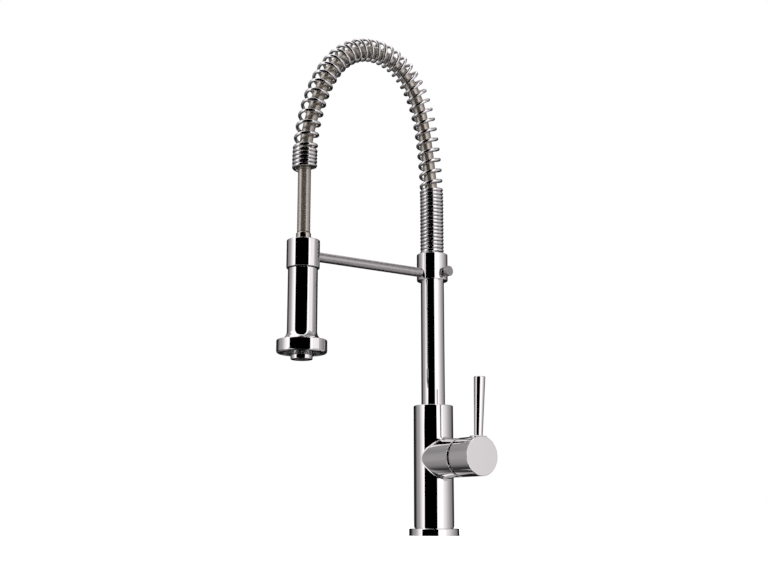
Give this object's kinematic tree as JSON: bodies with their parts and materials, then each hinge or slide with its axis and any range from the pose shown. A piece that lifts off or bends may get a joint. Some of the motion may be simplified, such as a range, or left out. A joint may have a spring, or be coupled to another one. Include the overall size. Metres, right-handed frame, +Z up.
{
  "type": "spring kitchen faucet",
  "caption": "Tall single-lever kitchen faucet: a round deck body with a side lever, a riser, a hose inside an open spring arch and a hand spray docked in an arm.",
  "frame": {"origin": "centre of the base's underside, on the axis of the body, where it stands on the deck", "axes": "+Z up along the body and riser, the spout reaches to -Y over the sink, the lever is on +X"},
  "size_m": [0.1055, 0.2042, 0.5072],
  "materials": {
    "chrome": "polished chrome plate",
    "spring_chrome": "polished chrome plated spring wire",
    "satin_steel": "satin steel",
    "brass": "machined brass",
    "braided_hose": "grey braid under a clear jacket",
    "rubber": "moulded rubber",
    "ceramic": "lapped ceramic",
    "plastic": "moulded plastic"
  },
  "bodies": {
    "base": {"base_flange": "chrome", "base_gasket": "rubber", "mixer_body": "chrome", "cartridge_base": "plastic", "cartridge_seals": "rubber", "fixed_disc": "ceramic", "cartridge_housing": "plastic", "cartridge_nut": "brass", "swivel_bush": "plastic", "swivel_screw": "satin_steel"},
    "turret": {"cartridge_turret": "plastic", "stem_pivot_pin": "satin_steel"},
    "lever": {"cartridge_stem": "satin_steel", "handle_cap": "chrome", "lever_pin": "chrome", "cap_screw": "satin_steel"},
    "disc": {"moving_disc": "ceramic"},
    "spout": {"riser_tube": "chrome", "riser_spigot": "brass", "swivel_o_rings": "rubber", "dock_collar": "chrome", "dock_arm": "satin_steel", "dock_ring": "chrome", "dock_liner": "plastic", "hose_nipple": "brass", "hose_sleeve": "satin_steel", "hose_main": "braided_hose", "guide_spring": "spring_chrome", "spring_guide": "plastic"},
    "thumb": {"thumb_screw": "satin_steel"},
    "hose_end": {"hose_drop": "braided_hose", "hose_tail": "brass", "hose_ferrule": "chrome", "hose_washer": "rubber"},
    "spray_head": {"spray_grip": "chrome", "spray_neck": "chrome", "hose_nut": "brass", "check_valve": "plastic", "spray_core": "plastic", "bell_clip": "satin_steel"},
    "selector": {"spray_bell": "chrome", "spray_face": "satin_steel", "nozzle_mat": "rubber", "aerator_housing": "chrome", "aerator_insert": "plastic"}
  },
  "joints": [
    {"name": "spout_swivel", "type": "hinge", "parent": "base", "child": "spout", "pos_m": [0, 0, 0.12], "axis": [0, 0, 1], "continuous": true},
    {"name": "mix_turn", "type": "hinge", "parent": "base", "child": "turret", "pos_m": [0.027, 0, 0.075], "axis": [1, 0, 0], "range_deg": [-45, 45]},
    {"name": "flow_tilt", "type": "hinge", "parent": "turret", "child": "lever", "pos_m": [0.027, 0, 0.075], "axis": [0, 1, 0], "range_deg": [0, 20]},
    {"name": "disc_shift", "type": "slide", "parent": "turret", "child": "disc", "axis": [0, 0, 1], "range_m": [0, 0.0036]},
    {"name": "thumb_turn", "type": "hinge", "parent": "spout", "child": "thumb", "pos_m": [0.0197, 0.00347, 0.2655], "axis": [0.9848, 0.1736, 0], "range_deg": [0, 360]},
    {"name": "spray_pull", "type": "slide", "parent": "spout", "child": "hose_end", "axis": [0, 0, -1], "range_m": [0, 0.12], "stiffness_N_per_m": 60, "springref_m": -0.12, "deforming": ["hose_drop"]},
    {"name": "spray_swivel", "type": "hinge", "parent": "hose_end", "child": "spray_head", "pos_m": [0, -0.155, 0.27], "axis": [0, 0, 1], "continuous": true},
    {"name": "selector_turn", "type": "hinge", "parent": "spray_head", "child": "selector", "pos_m": [0, -0.155, 0.178], "axis": [0, 0, 1], "range_deg": [0, 90]}
  ],
  "couplings": [
    {"joint": "disc_shift", "follows": "flow_tilt", "m_per_rad": 0.010288}
  ]
}
